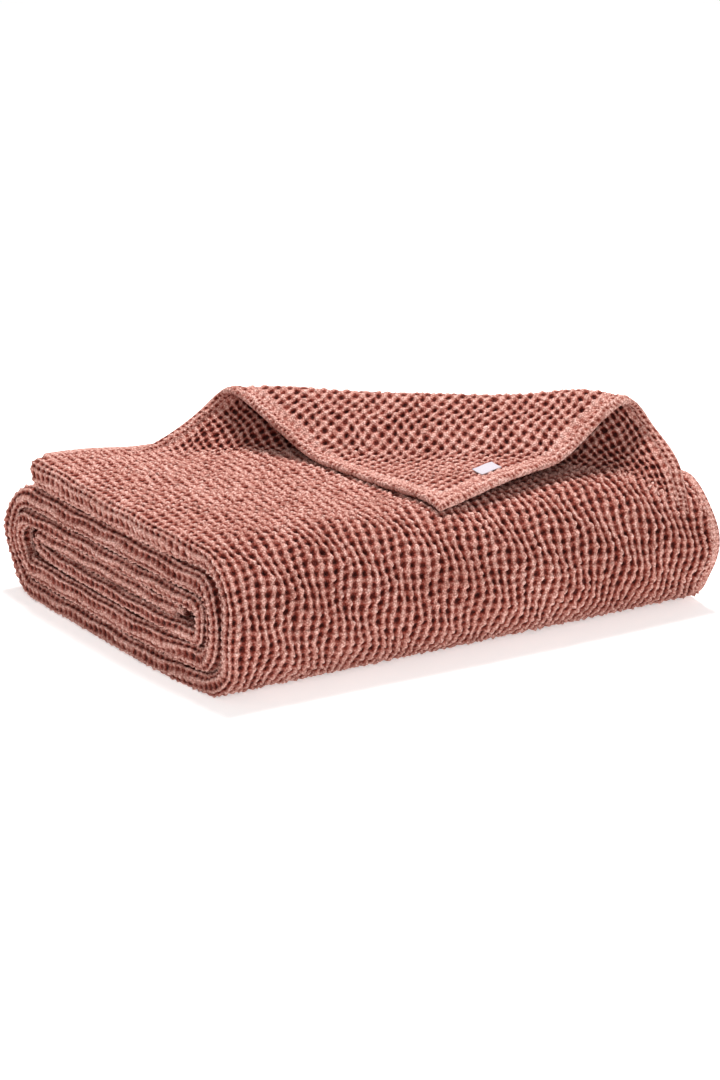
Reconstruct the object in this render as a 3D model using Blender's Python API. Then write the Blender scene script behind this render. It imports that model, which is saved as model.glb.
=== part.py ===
"""Throw blanket in chunky cotton, folded in four and turned over into a flat stack, with one corner
of its top layer turned back over the stack, and a small blank sewn-in tab.

Metres, +Z up. The fold edges run along X, the smooth front faces -Y and the fold ends show at -X.
The origin is the middle of the footprint, on the surface the stack rests on.
"""
import math

import bmesh
import bpy
from mathutils import Matrix, Vector

# Driving sizes of the stack.
WIDTH = 0.375           # a quarter of the 1.5 m width of the throw
DEPTH = 0.292           # front to back of the lower folds
HEIGHT = 0.103          # surface to the top of the uppermost fold
BAND_GAP = 0.0007       # air between one fold and the next
CLOTH = 0.0030          # one layer
HEM_WIDTH = 0.008
HEM_THICK = 0.0052      # three layers pressed together
SLIT_DEPTH = 0.013      # the open side parts each fold into two pairs of layers

# The soft unevenness of the stack. Drops and waves are shares of the height, starts are in radians.
RIGHT_DROP = 0.025      # the right end lies lower than the left
WAVE = 0.010            # rise and fall along the length
WAVE_COUNT = 1.2
WAVE_START = 0.6
LEFT_DROP = 0.030       # the top rounds off towards the left end
LEFT_REACH = 0.16       # over this share of the width
SIDE_SWAY = 0.0016      # the folds lie to the left and right of one another
SWAY_COUNT = 1.5
SWAY_START = 0.5
FRONT_SWAY = 0.0015     # the front bows in and out
BOW_START = 0.8
SAG = 0.014             # behind the crest the stack lies lower, its top layer being lifted away
SAG_FROM = -0.012       # where that starts and where it is full, measured back from the crest
SAG_FULL = 0.045
DIP = 0.0095            # a shallow hollow at the back edge of the top, left of the crest
DIP_X = -0.100
DIP_WIDE = 0.060
DIP_DEEP = 0.090
RIGHT_ROUND = 0.0110    # the top rounds off towards the right end
ROUND_FROM = 0.80       # from this share of the width on
RIGHT_LEAN = 0.0032     # over its foot, the right end stands this far further in

# The folds from the outer end inwards. Heights are shares of HEIGHT, ends are metres back from the
# front turn's centre line, and left is how far the fold's left edge lies in from the full width.
FOLDS = [
    # name, lower face, upper face, left edge in, front turn in, back turn in
    ("top", 0.775, 1.000, 0.0010, 0.0070, 0.0000),
    ("bottom", 0.000, 0.133, 0.0020, 0.0070, 0.0020),
    ("second", 0.610, 0.775, 0.0030, 0.0050, 0.0020),
    ("fifth", 0.133, 0.300, 0.0000, 0.0050, 0.0010),
    ("third", 0.513, 0.610, 0.0040, 0.0040, 0.0010),
    ("fourth", 0.300, 0.409, 0.0020, 0.0040, 0.0050),
    ("inner", 0.409, 0.513, 0.0050, 0.0050, 0.0050),
]
TOP_SLIM = 0.0060       # the top fold is this much thinner at the front than at its loose back end
TURN_THICK = [0.0125, 0.0120, 0.0115, 0.0110, 0.0090, 0.0085]
FRONT_CENTRE = 0.046    # centre of the front turns, from the front
BACK_CENTRE = 0.2520    # centre of the back turns, from the front
INNER_BACK = 0.2430     # the innermost back turn stops short and leaves a dark hollow
TOP_END = 0.2540        # where the uppermost fold ends, from the front
INNER_END = 0.0600      # where the innermost fold ends, from the front
FRONT_SQUASH = 0.90     # the front turns are a little flatter than half circles
TURN_POWER = 2.3        # and squarer

RUN_STEPS = [10, 5, 5, 4, 4, 4, 4]
TURN_STEPS = [12, 10, 8, 8, 7, 7]
EDGE_STEPS = 6          # round the left edge of a fold
LOBE_STEPS = 4          # round each lobe of the right edge
SIDE_COLUMNS = 14       # across the flat of a fold
END_ROUNDING = [(0.0000, 0.35), (0.0012, 0.70), (0.0035, 0.92), (0.0070, 1.0)]

# The corner that is turned back, in the plane of the top layer before it was lifted.
CORNER_X = 0.1680       # the side hem
CORNER_ALONG = 0.2137   # turned length of the end hem
CORNER_ACROSS = 0.1835  # turned length of the side hem
CORNER_IN = 0.0095      # its end hem lies this far in from the end of the stack
ROOT_BACK = 0.0517      # cloth between the crest and the line where it leaves the stack
REST_GAP = 0.0009       # the turned corner lies this far above the stack
FOLD_OVER = [
    # cloth from the root, slope of the cloth in degrees
    (0.000, 4.0),
    (0.008, 14.0),
    (0.018, 34.0),
    (0.034, 42.0),
    (0.042, 58.0),
    (0.048, 105.0),
    (0.056, 172.0),
    (0.063, 205.0),
    (0.072, 214.0),
    (0.098, 214.0),
    (0.108, 208.0),
    (0.118, 199.0),
    (0.128, 191.0),
    (0.138, 186.0),
    (0.160, 181.0),
    (0.200, 180.0),
]
ROOT_SINK = 0.0030      # the root lies this deep in the top fold
CREST_AT = 0.056        # cloth from the root to the top of the crest
CREST_LEFT = 1.166      # height of the crest at its left end, as a share of FOLD_OVER's
CREST_RIGHT = 1.379
CREST_END = 0.155       # the end hem stands this share higher where it goes over the crest
CREST_SIDE = 0.27       # and the side hem this share
CREST_END_OVER = 0.35   # which fades over this share of the crest's length
SIDE_LIFT = 0.0084      # the side hem rises from the tip, where the end hem lies flat
SIDE_LIFT_FROM = 0.40   # from this share of the crest's length
SIDE_LIFT_OVER = 0.30   # in full after this much more of it
LANDING = 0.0016        # how softly the turned cloth comes to rest
WELL_CLEAR = 30.0       # landings over the stack, from where on it doesn't feel it
HEM_ROUND = 0.0015
GRID_STEPS = 11
WELD = 0.00005

# The blank tab, sewn in under the inner edge of the side hem.
TAB_LONG = 0.0165
TAB_WIDE = 0.0090
TAB_THICK = 0.0006
TAB_FROM_TIP = 0.0465
TAB_IN = 0.0004         # from the foot of the hem to the tab
TAB_CLEAR = 0.0004

NAME = "folded_throw"


def material(name, colour, roughness):
    made = bpy.data.materials.new(name)
    made.use_nodes = True
    shader = made.node_tree.nodes["Principled BSDF"]
    shader.inputs["Base Color"].default_value = (*colour, 1.0)
    shader.inputs["Roughness"].default_value = roughness
    shader.inputs["Metallic"].default_value = 0.0
    return made


def smooth(x):
    x = min(1.0, max(0.0, x))
    return x * x * (3.0 - 2.0 * x)


def band(i):
    """Middle height and thickness of one fold. The lowest rests at zero."""
    _, low, high, *_ = FOLDS[i]
    return HEIGHT * (low + high) / 2.0 - BAND_GAP / 2.0, HEIGHT * (high - low) - BAND_GAP


def centre_line():
    """Stations (y, z, thickness, left edge in) from the outer end to the inner end of the strip."""
    stations = []
    for i, (_, _, _, left, front_in, back_in) in enumerate(FOLDS):
        to_front = i % 2 == 0
        middle, thick = band(i)
        back = TOP_END if i == 0 else (INNER_BACK if i >= 5 else BACK_CENTRE)
        front = INNER_END if i == len(FOLDS) - 1 else FRONT_CENTRE
        start, stop = (back, front) if to_front else (front, back)
        first_in = FOLDS[i - 1][4] if i and not to_front else (FOLDS[i - 1][5] if i else left)
        last_in = front_in if to_front else back_in
        for k in range(RUN_STEPS[i] + 1):
            share = k / RUN_STEPS[i]
            slim = TOP_SLIM * smooth(share) if i == 0 else 0.0
            away = abs(2.0 * share - 1.0) ** 3
            side = first_in if share < 0.5 else last_in
            stations.append((start + (stop - start) * share, middle - slim / 2.0, thick - slim,
                             left + (side - left) * away))
        if i == len(FOLDS) - 1:
            break
        next_middle, next_thick = band(i + 1)
        stations += turn(stop, middle - slim / 2.0, next_middle, thick - slim, TURN_THICK[i], next_thick,
                         -FRONT_SQUASH if to_front else 1.0, last_in, TURN_STEPS[i])
    return stations


def turn(centre, z_from, z_to, thick, thick_mid, thick_next, bulge, left, steps):
    """Stations round one turn, without its first and last."""
    found = []
    radius = (z_from - z_to) / 2.0
    for k in range(1, steps):
        angle = math.pi * k / steps
        across = abs(math.sin(angle)) ** (2.0 / TURN_POWER)
        along = math.copysign(abs(math.cos(angle)) ** (2.0 / TURN_POWER), math.cos(angle))
        end = thick if angle < math.pi / 2.0 else thick_next
        size = end + (thick_mid - end) * smooth(across * 1.2 - 0.1)
        found.append((centre + bulge * abs(radius) * across, (z_from + z_to) / 2.0 + radius * along,
                      size, left))
    return found


def normals(stations):
    """Unit vector from the middle of the strip to its outer face, at each station."""
    found = []
    for i in range(len(stations)):
        before = stations[max(0, i - 1)]
        after = stations[min(len(stations) - 1, i + 1)]
        along = Vector((0.0, after[0] - before[0], after[1] - before[1])).normalized()
        found.append(Vector((0.0, along.z, -along.y)))
    return found


def section(thick, left):
    """(x, offset) round one fold: a rounded left edge and a right edge in two lobes."""
    half = thick / 2.0
    x_left = -WIDTH / 2.0 + left
    x_right = WIDTH / 2.0
    ring = []
    for k in range(EDGE_STEPS + 1):
        angle = math.pi * (k / EDGE_STEPS - 0.5)
        ring.append((x_left + half * (1.0 - math.cos(angle)), half * math.sin(angle)))
    lobe = half / 2.0 - BAND_GAP / 4.0
    flat_from, flat_to = x_left + half, x_right - lobe
    inner = [flat_from + (flat_to - flat_from) * k / SIDE_COLUMNS for k in range(1, SIDE_COLUMNS)]
    ring += [(x, half) for x in inner]
    for side in (1.0, -1.0):
        for k in range(LOBE_STEPS + 1):
            angle = math.pi * (0.5 - k / LOBE_STEPS)
            ring.append((x_right - lobe * (1.0 - math.cos(angle)),
                         side * (half - lobe) + lobe * math.sin(angle)))
        if side > 0.0:
            ring.append((x_right - SLIT_DEPTH, 0.0))
    ring += [(x, -half) for x in reversed(inner)]
    return ring


def behind_crest(x, y):
    """Distance over the top of the stack from the crest towards the back right corner."""
    run = TOP_END - CORNER_IN - DEPTH / 2.0 - y
    length = math.hypot(CORNER_ALONG, CORNER_ACROSS)
    return ((x - CORNER_X + CORNER_ALONG) * CORNER_ACROSS - run * CORNER_ALONG) / length


def uneven(point):
    """The soft unevenness of the whole stack, which leaves its flat underside flat."""
    x, y, z = point
    share = x / WIDTH + 0.5
    up = z / HEIGHT
    lift = 1.0 - RIGHT_DROP * share
    lift += WAVE * math.sin(2.0 * math.pi * WAVE_COUNT * share + WAVE_START)
    lift -= LEFT_DROP * (1.0 - smooth(share / LEFT_REACH)) * smooth(up)
    sag = SAG * smooth((behind_crest(x, y) - SAG_FROM) / (SAG_FULL - SAG_FROM))
    sag += DIP * math.exp(-((x - DIP_X) / DIP_WIDE) ** 2 - ((TOP_END - DEPTH / 2.0 - y) / DIP_DEEP) ** 2)
    at_right = smooth((share - ROUND_FROM) / (1.0 - ROUND_FROM))
    sag += RIGHT_ROUND * at_right
    sway = SIDE_SWAY * math.sin(2.0 * math.pi * SWAY_COUNT * up + SWAY_START) * (1.0 - 2.0 * share)
    sway -= RIGHT_LEAN * at_right
    bow = FRONT_SWAY * math.sin(2.0 * math.pi * share + BOW_START)
    return Vector((x + sway * smooth(up * 4.0), y + bow * smooth(up * 3.0), z * lift - sag * up * up))


def loft(bm, rings):
    """Skins rings of points of equal count and caps both ends."""
    made = [[bm.verts.new(p) for p in ring] for ring in rings]
    count = len(made[0])
    for a, b in zip(made, made[1:]):
        for k in range(count):
            n = (k + 1) % count
            bm.faces.new((a[k], a[n], b[n], b[k]))
    bm.faces.new(list(reversed(made[0])))
    bm.faces.new(made[-1])


def strip_rings():
    """Rings of the folded strip, with rounded ends."""
    stations = centre_line()
    out = normals(stations)
    y0 = DEPTH / 2.0
    rings = []

    def add(y, z, thick, left, normal, shrink):
        ring = [Vector((x, y - y0, z)) + normal * (n * shrink) for x, n in section(thick, left)]
        rings.append([uneven(p) for p in ring])

    full = END_ROUNDING[-1][0]
    y, z, thick, left = stations[0]
    for back, shrink in END_ROUNDING[:-1]:
        add(y + full - back, z, thick, left, out[0], shrink)
    for station, normal in zip(stations, out):
        add(*station, normal, 1.0)
    y, z, thick, left = stations[-1]
    for back, shrink in reversed(END_ROUNDING[:-1]):
        add(y - full + back, z, thick, left, out[-1], shrink)
    return rings


def outer_path():
    """Outer face of the top fold and the front turn: (cloth from the end, y, z, normal y, z)."""
    stations = centre_line()[: RUN_STEPS[0] + TURN_STEPS[0] + 1]
    out = normals(centre_line())
    path = []
    run = 0.0
    last = None
    for (y, z, thick, _), normal in zip(stations, out):
        point = Vector((0.0, y - DEPTH / 2.0, z)) + normal * (thick / 2.0)
        run += (point - last).length if last else 0.0
        last = point
        path.append((run, point, normal))
    return path


def on_stack(path, x, run):
    """Point and normal on the outer face, run metres of cloth from the end of the top fold."""
    for (a, p, n), (b, q, m) in zip(path, path[1:]):
        if run <= b:
            break
    share = (run - a) / (b - a)
    point = p.lerp(q, share)
    normal = n.lerp(m, min(1.0, max(0.0, share))).normalized()
    return Vector((x, point.y, point.z)), normal


def fold_curve():
    """(cloth from the root, distance over the stack, height over it) down the turned corner."""
    steps = 240
    step = FOLD_OVER[-1][0] / steps
    curve = [(0.0, 0.0, 0.0)]
    for k in range(steps):
        at = step * (k + 0.5)
        for (a, s), (b, t) in zip(FOLD_OVER, FOLD_OVER[1:]):
            if at <= b:
                break
        angle = math.radians(s + (t - s) * smooth((at - a) / (b - a)))
        _, r, z = curve[-1]
        curve.append((step * (k + 1), r + step * math.cos(angle), z + step * math.sin(angle)))
    return curve


class Corner:
    """Places the cloth of the turned corner: p and q are metres from its tip along the end hem and
    the side hem, and w is the distance off the middle of the cloth, up where the corner is turned."""

    def __init__(self):
        self.path = outer_path()
        self.curve = fold_curve()
        self.rest = ROOT_SINK + REST_GAP + HEM_THICK / 2.0
        self.length = length = math.hypot(CORNER_ALONG, CORNER_ACROSS)
        self.crest = Vector((CORNER_X - CORNER_ALONG, 0.0))
        self.u = Vector((CORNER_ALONG, CORNER_ACROSS)) / length
        self.v = Vector((self.u.y, -self.u.x))
        self.tip = CORNER_ALONG * CORNER_ACROSS / length + ROOT_BACK

    def height(self, along):
        step = self.curve[1][0]
        k = min(len(self.curve) - 2, int(along / step))
        (a, r, z), (_, s, w) = self.curve[k], self.curve[k + 1]
        share = (along - a) / step
        r, z = r + (s - r) * share, z + (w - z) * share
        return r, z

    def settle(self, z):
        """Brings the turned cloth softly down to rest on the stack."""
        over = (z - self.rest) / LANDING
        return self.rest + LANDING * (over if over > WELL_CLEAR else math.log1p(math.exp(over)))

    def place(self, p, q):
        flat = Vector((CORNER_X - p, q)) - self.crest
        cloth = max(0.0, flat.dot(self.v) + ROOT_BACK)
        r, z = self.height(cloth)
        along = flat.dot(self.u)
        share = along / self.length
        z *= (CREST_LEFT + (CREST_RIGHT - CREST_LEFT) * smooth(share)
              + CREST_END * smooth(1.0 - share / CREST_END_OVER)
              + CREST_SIDE * smooth(1.0 - (1.0 - share) / CREST_END_OVER))
        if cloth > CREST_AT:
            down = min(1.0, (cloth - CREST_AT) / (self.tip - CREST_AT))
            rise = SIDE_LIFT * smooth((share - SIDE_LIFT_FROM) / SIDE_LIFT_OVER)
            z = self.settle(z) + rise * math.sin(math.pi * down)
        spot = self.crest + self.u * along + self.v * (r - ROOT_BACK)
        base, normal = on_stack(self.path, spot.x, spot.y + CORNER_IN)
        return base + normal * (z - ROOT_SINK)

    def point(self, p, q, w):
        step = 0.0008
        across = self.place(p + step, q) - self.place(p - step, q)
        down = self.place(p, q + step) - self.place(p, q - step)
        return uneven(self.place(p, q) + down.cross(across).normalized() * w)


def half_thickness(p, q):
    """Half the cloth's thickness at a point of the corner, with its double-turned hem."""
    edge = min(p, q)
    if edge < HEM_ROUND / 2.0:
        return HEM_THICK * 0.22
    return HEM_THICK / 2.0 if edge < HEM_WIDTH + HEM_ROUND / 2.0 else CLOTH / 2.0


def slab(lines_p, lines_q):
    """A flat grid of cloth over the given lines."""
    bm = bmesh.new()
    bmesh.ops.create_grid(bm, x_segments=len(lines_p) - 1, y_segments=len(lines_q) - 1, size=1.0)
    for v in bm.verts:
        i = round((v.co.x + 1.0) / 2.0 * (len(lines_p) - 1))
        j = round((v.co.y + 1.0) / 2.0 * (len(lines_q) - 1))
        v.co = (lines_p[i], lines_q[j], 0.0)
    return bm


def thicken(bm):
    """Closes a flat grid into a slab from z = -1 to z = 1."""
    bmesh.ops.triangulate(bm, faces=bm.faces)
    made = bmesh.ops.extrude_face_region(bm, geom=list(bm.faces), use_keep_orig=True)
    top = {v for v in made["geom"] if isinstance(v, bmesh.types.BMVert)}
    for v in bm.verts:
        v.co.z = 1.0 if v in top else -1.0
    bmesh.ops.recalc_face_normals(bm, faces=bm.faces)
    # The turned corner is a mirror image of the flat cloth.
    bmesh.ops.reverse_faces(bm, faces=bm.faces)


def add_object(name, bm, collection, cloth):
    mesh = bpy.data.meshes.new(name)
    bm.to_mesh(mesh)
    bm.free()
    mesh.shade_smooth()
    mesh.set_sharp_from_angle(angle=math.radians(50.0))
    thing = bpy.data.objects.new(name, mesh)
    collection.objects.link(thing)
    mesh.materials.append(cloth)
    return thing


def build_corner(corner, collection, cloth):
    """The lifted corner of the top layer, over its crest and down to its tip."""
    reach = 1.0 + ROOT_BACK * math.hypot(CORNER_ALONG, CORNER_ACROSS) / (CORNER_ALONG * CORNER_ACROSS)
    hem = [0.0, HEM_ROUND, HEM_WIDTH, HEM_WIDTH + HEM_ROUND]
    lines = []
    for turned in (CORNER_ALONG, CORNER_ACROSS):
        rest = turned * reach - hem[-1]
        lines.append(hem + [hem[-1] + rest * k / GRID_STEPS for k in range(1, GRID_STEPS + 1)])
    bm = slab(*lines)
    crest = Vector((CORNER_ALONG, 0.0, 0.0))
    away = Vector((-corner.v.x, corner.v.y, 0.0))
    for k, (along, _) in enumerate(FOLD_OVER[:-1]):
        bmesh.ops.bisect_plane(bm, geom=list(bm.verts) + list(bm.edges) + list(bm.faces),
                               dist=WELD, plane_co=crest + away * (along - ROOT_BACK),
                               plane_no=away, clear_inner=k == 0)
    thicken(bm)
    for v in bm.verts:
        v.co = corner.point(v.co.x, v.co.y, v.co.z * half_thickness(v.co.x, v.co.y))
    return add_object("corner_cloth", bm, collection, cloth)


def build_tab(corner, collection, finish):
    """The blank tab, lying on the turned corner beside the side hem."""
    steps = 4
    inner = HEM_WIDTH + HEM_ROUND + TAB_IN
    bm = slab([inner + TAB_WIDE * k / 2 for k in range(3)],
              [TAB_FROM_TIP + TAB_LONG * k / steps for k in range(steps + 1)])
    thicken(bm)
    middle = CLOTH / 2.0 + TAB_CLEAR + TAB_THICK / 2.0
    for v in bm.verts:
        v.co = corner.point(v.co.x, v.co.y, middle + v.co.z * TAB_THICK / 2.0)
    return add_object("tab", bm, collection, finish)


def main():
    for old in list(bpy.data.objects):
        bpy.data.objects.remove(old, do_unlink=True)
    collection = bpy.data.collections.new(NAME)
    helpers = bpy.data.collections.new(NAME + "_helpers")
    bpy.context.scene.collection.children.link(collection)
    bpy.context.scene.collection.children.link(helpers)
    cloth = material("honeycomb_cotton", (0.52, 0.23, 0.18), 0.92)
    tape = material("white_tape", (0.84, 0.82, 0.80), 0.70)
    bm = bmesh.new()
    loft(bm, strip_rings())
    bmesh.ops.recalc_face_normals(bm, faces=bm.faces)
    across = [v.co.x for v in bm.verts]
    back = [v.co.y for v in bm.verts]
    middle = Vector((-min(across) - max(across), -min(back) - max(back), 0.0)) / 2.0
    blanket = add_object("blanket", bm, collection, cloth)
    corner = Corner()
    lifted = build_corner(corner, helpers, cloth)
    lifted.hide_render = True
    lifted.display_type = "WIRE"
    join = blanket.modifiers.new("corner", "BOOLEAN")
    join.operation = "UNION"
    join.solver = "EXACT"
    join.object = lifted
    tab = build_tab(corner, collection, tape)
    # The middle of the footprint becomes the origin.
    for thing in (blanket, lifted, tab):
        thing.data.transform(Matrix.Translation(middle))


main()
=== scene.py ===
"""Looks of the folded throw: its waffle cloth, hems and tab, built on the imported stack's own sizes.

Metres, +Z up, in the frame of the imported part. The cloth lies on the folds that the part's source
gives, so its sizes and its table of folds are repeated here.
"""
import math

import bmesh
import bpy
import numpy as np
from mathutils import Matrix, Vector


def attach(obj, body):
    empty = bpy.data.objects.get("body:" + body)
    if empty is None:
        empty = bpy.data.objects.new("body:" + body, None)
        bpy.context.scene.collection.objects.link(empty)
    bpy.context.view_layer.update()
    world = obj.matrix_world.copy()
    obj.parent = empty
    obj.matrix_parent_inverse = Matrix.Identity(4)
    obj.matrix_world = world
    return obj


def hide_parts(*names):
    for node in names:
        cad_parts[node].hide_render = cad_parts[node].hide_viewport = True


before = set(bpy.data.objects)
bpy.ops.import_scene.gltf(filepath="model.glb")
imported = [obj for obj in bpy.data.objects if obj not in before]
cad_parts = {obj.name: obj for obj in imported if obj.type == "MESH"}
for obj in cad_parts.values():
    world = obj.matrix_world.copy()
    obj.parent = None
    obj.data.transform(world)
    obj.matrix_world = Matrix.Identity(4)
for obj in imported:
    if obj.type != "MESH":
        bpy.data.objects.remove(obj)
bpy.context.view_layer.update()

# Camera: the photograph's view from the left and a little above, in its 720 x 1080 frame.
CAMERA_TURN = -32.3         # degrees
CAMERA_RISE = 17.5
CAMERA_AWAY = 2.3           # metres from the target
CAMERA_TARGET = (0.0, 0.0, 0.045)
TARGET_PIXEL = (360.0, 532.0)
FRAME_PIXELS = (720.0, 1080.0)
PIXEL_SIZE = 0.000652       # one pixel at the target, in metres
SENSOR_WIDTH = 36.0         # millimetres

# Sizes of the stack, as in the part's source.
WIDTH = 0.375
DEPTH = 0.292
HEIGHT = 0.103
BAND_GAP = 0.0007           # from one fold to the next
FOLDS = [
    # lower face, upper face, left edge in, front turn in, back turn in
    (0.775, 1.000, 0.0010, 0.0070, 0.0000),
    (0.000, 0.133, 0.0020, 0.0070, 0.0020),
    (0.610, 0.775, 0.0030, 0.0050, 0.0020),
    (0.133, 0.300, 0.0000, 0.0050, 0.0010),
    (0.513, 0.610, 0.0040, 0.0040, 0.0010),
    (0.300, 0.409, 0.0020, 0.0040, 0.0050),
    (0.409, 0.513, 0.0050, 0.0050, 0.0050),
]
TOP_SLIM = 0.0060           # the top fold slims by this towards the front
TURN_THICK = [0.0125, 0.0120, 0.0115, 0.0110, 0.0090, 0.0085]
FRONT_CENTRE = 0.046        # where the turns start, as depths from the front
BACK_CENTRE = 0.2520
INNER_BACK = 0.2430
TOP_END = 0.2540            # the loose end of the top fold
INNER_END = 0.0600
FRONT_SQUASH = 0.90
TURN_POWER = 2.3            # 2 would make the turns round
RIGHT_DROP = 0.025          # shares of the height
WAVE = 0.010
LEFT_DROP = 0.030
LEFT_REACH = 0.16
SIDE_SWAY = 0.0016
FRONT_SWAY = 0.0015
SAG = 0.014                 # the top sinks by this behind the corner's crease
SAG_FROM = -0.012
SAG_FULL = 0.045
DIP = 0.0095                # and in a hollow at the back left
DIP_X = -0.100
DIP_WIDE = 0.060
DIP_DEEP = 0.090
RIGHT_ROUND = 0.0110
ROUND_FROM = 0.80
RIGHT_LEAN = 0.0032
MIDDLE = (0.00037, -0.00064)       # what brings the middle of the footprint to the origin

# The corner that is turned back, as in the part's source.
CORNER_X = 0.1680
CORNER_ALONG = 0.2137       # how much of the loose end it takes in
CORNER_ACROSS = 0.1835      # and how much of the side
CORNER_IN = 0.0095
ROOT_BACK = 0.0517          # the cloth leaves the stack this far behind the crease
REST_GAP = 0.0009
FOLD_OVER = [
    # cloth from the root, slope of the cloth in degrees
    (0.000, 4.0),
    (0.008, 14.0),
    (0.018, 34.0),
    (0.034, 42.0),
    (0.042, 58.0),
    (0.048, 105.0),
    (0.056, 172.0),
    (0.063, 205.0),
    (0.072, 214.0),
    (0.098, 214.0),
    (0.108, 208.0),
    (0.118, 199.0),
    (0.128, 191.0),
    (0.138, 186.0),
    (0.160, 181.0),
    (0.200, 180.0),
]
ROOT_SINK = 0.0030
CREST_AT = 0.056            # cloth from the root to the crest
CREST_LEFT = 1.166          # shares of the crest's height along it
CREST_RIGHT = 1.379
CREST_END = 0.155
CREST_SIDE = 0.27
CREST_END_OVER = 0.35
SIDE_LIFT = 0.0084
SIDE_LIFT_FROM = 0.40
LANDING = 0.0016
CLOTH = 0.0030
HEM_WIDTH = 0.008
HEM_THICK = 0.0052

# The waffle, its cells measured on the photograph.
CELL_ACROSS = 0.00615
CELL = 0.0064               # along the strip
CORNER_CELL = 0.0059        # on the turned corner, both ways
EDGE_CELL = 58              # from this cell in from the right, the strip rounds its left edge
LAST_CELL = 68
EDGE_STRETCH = 0.80         # round a fold's edge the cells are pressed closer
EDGE_SQUARE = 0.68          # 1 would be a half circle
END_ROUNDING = [(0.0, 0.35), (0.0012, 0.70), (0.0035, 0.92), (0.0070, 1.0)]
SKIN = 0.0030               # how far the back of a cloth piece lies under its face

# Its relief: heights in metres, and shares of them.
KNOB_RISE = 0.0004          # the middling ground of the ridges over the stack's own surface
PIT_DEPTH = 0.0026
PIT_POWER = 1.75            # a higher power makes the pits narrower
PIT_MIDDLING = 0.90         # how strong a middling pit is, and how far the pits differ
PIT_SPREAD = 0.44
PIT_EDGE_LOSS = 0.16        # round the left edge the pits are weaker and the knobs lower
KNOB_HEIGHT = 0.00105
KNOB_LEAST = 0.45
KNOB_SPREAD = 1.10
KNOB_POWER = 0.85
KNOB_EDGE_LOSS = 0.3
PLUG_ABOVE = 0.80           # one pit in five is half filled by its yarn
PLUG_SHARE = 0.50
ALONG_LOW = 0.00080         # how low the ridges along the strip lie between two knobs
ALONG_RIBBED = 0.00045      # and by how much less where they stand out as ribs
ACROSS_LOW = 0.00045        # the same for the ridges across it, which lie lower there
ACROSS_RIBBED = 0.00095
LUMP = 0.00055              # uneven yarn, in lumps half a cell apart
LOOP = 0.00050              # single loops that stand up or lie low
LOOP_AT_EDGE = 0.00020
LOOPS = 42.0                # to a cell
ZIGZAG = 0.045              # how far the rows wander, in cells
WANDER_ACROSS = (0.22, 0.24)
WANDER_ALONG = (0.20, 0.18)
JITTER = 0.54               # and each crossing of the ridges
EDGE_STRAIGHT = 0.50        # the rows are this much straighter along the folded edge
RIB_FROM = 30.0             # the cell along the strip at which the front's ribs set in
RIB_LEAST = 0.7             # how strong the ribs are at the left, and how much more at the right
RIB_MORE = 0.3

# Kinds of fixed random number.
PITS, KNOBS, PLUGS, MOVED_ACROSS, MOVED_ALONG, LUMPS, LOOSE_LOOPS = 1, 2, 3, 4, 5, 6, 7

# The hem of the turned corner: two rows of small slanting lumps, and a groove on its inner side.
HEM_LUMP = 0.0038           # from one lump to the next
HEM_ROUND = 0.0036          # its edge is rounded over this width
HEM_STEP = 0.0014           # its thickness goes over into the cloth's in this width
HEM_STEP_FROM = 0.0010
HEM_CROWN = 0.0003
HEM_RELIEF = 0.50           # shares of the waffle's heights and pits that are left in it
HEM_PITS = 0.52
HEM_SLANT = 0.35
GROOVE = 0.0008
GROOVE_WIDE = 0.0007
SEAM = 0.0007               # a second, finer groove beside it
SEAM_IN = 0.0030
SEAM_WIDE = 0.0006
FLAT_NEAR_HEM = 0.0060      # within this of the hem the pits are shallower
FLAT_SHARE = 0.35           # down to this share
CORNER_KNOBS = 0.65
UNDER_CLOSER = 1.25         # on the underside, curled in, the cells lie closer
# and the pits there are painted this much darker: painted shade under the turned corner
UNDER_PIT_SHADE = 1.40
CORNER_CALM = 0.020         # the rows run straight near the hem and wander from here on

# The hems of the open side and of the loose end.
HEM_CELL = 0.0045
HEM_PIT_STRENGTH = 0.45
HEM_END_ROUND = 0.003
HEM_KNOBBLY = 0.07
# Share of the fold's thickness off its middle, and how far in from the side.
SIDE_HEMS = {"upper_side_hem": (0.375, 0.0015), "lower_side_hem": (0.125, 0.0025)}
SIDE_HEM_FROM = 0.004
# The same share for each layer's end.
END_HEMS = {"a": 0.375, "b": 0.125, "c": -0.125, "d": -0.375}
LOBE_IN = 0.0022            # the inner pair of layers ends this far in from the open side
LOBE_FULL = 0.004           # a fold of this radius or more has the full relief
LOBE_SHARE = 0.45

# The tab, and the thin sheet inside the cloth pieces.
TAB_LONG, TAB_WIDE, TAB_THICK = 0.0165, 0.0090, 0.0006
TAB_FROM_TIP = 0.0465
TAB_IN = 0.0036             # from the hem
TAB_OVER = 0.0004
SHEET_IN = 0.0029           # the sheet's outer layers lie this far inside the folds' faces
SHEET_THICK = 0.0009
SHEET_PITS = 0.8
FLOOR_HALF = 14.0


def smooth(x):
    """From 0 to 1 with soft ends."""
    x = np.clip(x, 0.0, 1.0)
    return x * x * (3.0 - 2.0 * x)


def linear(code):
    """An sRGB hex value as linear red, green, blue and alpha."""
    parts = [int(code[i:i + 2], 16) / 255.0 for i in (1, 3, 5)]
    return [c / 12.92 if c <= 0.04045 else ((c + 0.055) / 1.055) ** 2.4 for c in parts] + [1.0]


# The folded strip.

def band(i):
    """The height of a fold's middle, and its thickness."""
    low, high = FOLDS[i][:2]
    return HEIGHT * (low + high) / 2.0 - BAND_GAP / 2.0, HEIGHT * (high - low) - BAND_GAP


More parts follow.
